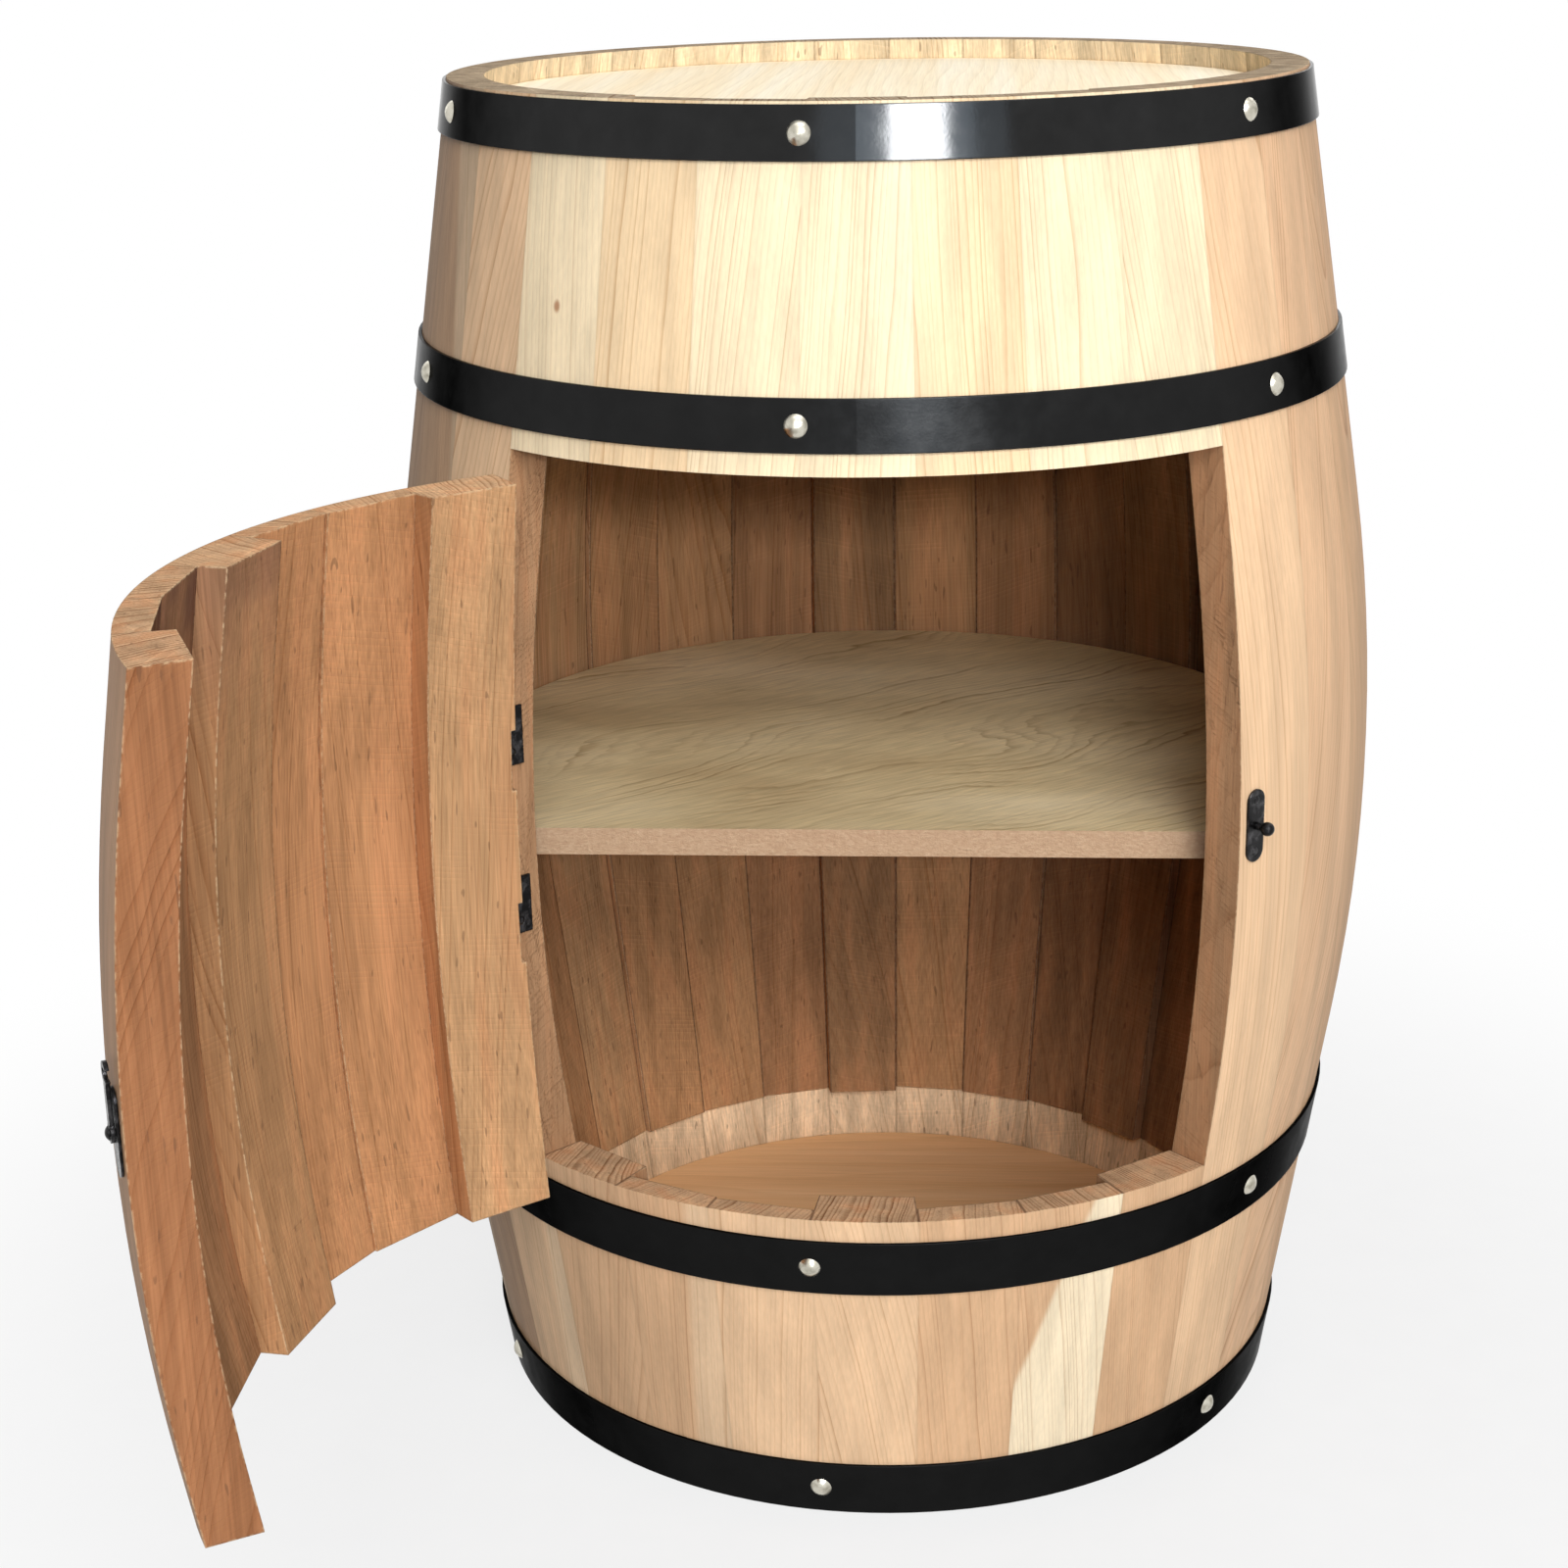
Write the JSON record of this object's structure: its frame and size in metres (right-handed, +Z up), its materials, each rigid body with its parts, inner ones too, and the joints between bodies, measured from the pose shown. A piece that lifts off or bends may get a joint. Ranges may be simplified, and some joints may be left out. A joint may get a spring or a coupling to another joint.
{
  "type": "barrel bar cabinet",
  "caption": "Wooden stave barrel with steel hoops, a recessed top, an inner shelf and a curved front door on butt hinges, closed by a swing-hook latch.",
  "frame": {"origin": "on the barrel's axis, level with the ends of the staves that it stands on", "axes": "+Z up along the barrel's axis, -Y out through the middle of the door opening, +X to the right of someone facing the door"},
  "size_m": [0.4678, 0.6778, 0.6],
  "materials": {
    "stave_wood": "sanded outside, sawn inside",
    "door_wood": "sanded outside, sawn inside",
    "head_wood": "planed",
    "shelf_plywood": "planed",
    "hoop_steel": "gloss black",
    "rivet_nickel": "satin nickel",
    "black_hardware": "antique black"
  },
  "bodies": {
    "frame": {"side_stave_01": "stave_wood", "side_stave_02": "stave_wood", "side_stave_03": "stave_wood", "side_stave_04": "stave_wood", "side_stave_05": "stave_wood", "side_stave_06": "stave_wood", "side_stave_07": "stave_wood", "side_stave_08": "stave_wood", "side_stave_09": "stave_wood", "side_stave_10": "stave_wood", "side_stave_11": "stave_wood", "side_stave_12": "stave_wood", "side_stave_13": "stave_wood", "side_stave_14": "stave_wood", "side_stave_15": "stave_wood", "side_stave_16": "stave_wood", "side_stave_17": "stave_wood", "side_stave_18": "stave_wood", "side_stave_19": "stave_wood", "side_stave_20": "stave_wood", "side_stave_21": "stave_wood", "side_stave_22": "stave_wood", "upper_front_staves": "stave_wood", "lower_front_staves": "stave_wood", "top_hoop": "hoop_steel", "upper_hoop": "hoop_steel", "lower_hoop": "hoop_steel", "bottom_hoop": "hoop_steel", "hoop_rivets": "rivet_nickel", "top_head": "head_wood", "bottom_head": "head_wood", "shelf": "shelf_plywood", "shelf_cleats": "head_wood", "upper_hinge_frame_leaf": "black_hardware", "upper_hinge_pin": "black_hardware", "lower_hinge_frame_leaf": "black_hardware", "lower_hinge_pin": "black_hardware", "hinge_frame_screws": "black_hardware", "catch_plate": "black_hardware", "catch_screws": "black_hardware", "catch_stud": "black_hardware"},
    "door": {"door_stave_1": "door_wood", "door_stave_2": "door_wood", "door_stave_3": "door_wood", "door_stave_4": "door_wood", "door_stave_5": "door_wood", "door_stave_6": "door_wood", "door_stave_7": "door_wood", "upper_hinge_door_leaf": "black_hardware", "lower_hinge_door_leaf": "black_hardware", "hinge_door_screws": "black_hardware", "latch_door_plate": "black_hardware", "latch_door_screws": "black_hardware", "latch_pivot_rivet": "black_hardware"},
    "latch_arm": {"latch_arm": "black_hardware"}
  },
  "joints": [
    {"name": "door_hinge", "type": "hinge", "parent": "frame", "child": "door", "pos_m": [-0.15177, -0.16422, 0.30875], "axis": [0, 0, -1], "range_deg": [-103.3, 56.7]},
    {"name": "latch_pivot", "type": "hinge", "parent": "door", "child": "latch_arm", "pos_m": [-0.22324, -0.45, 0.30875], "axis": [0.8906, 0.4549, 0], "range_deg": [-90, 90]}
  ]
}
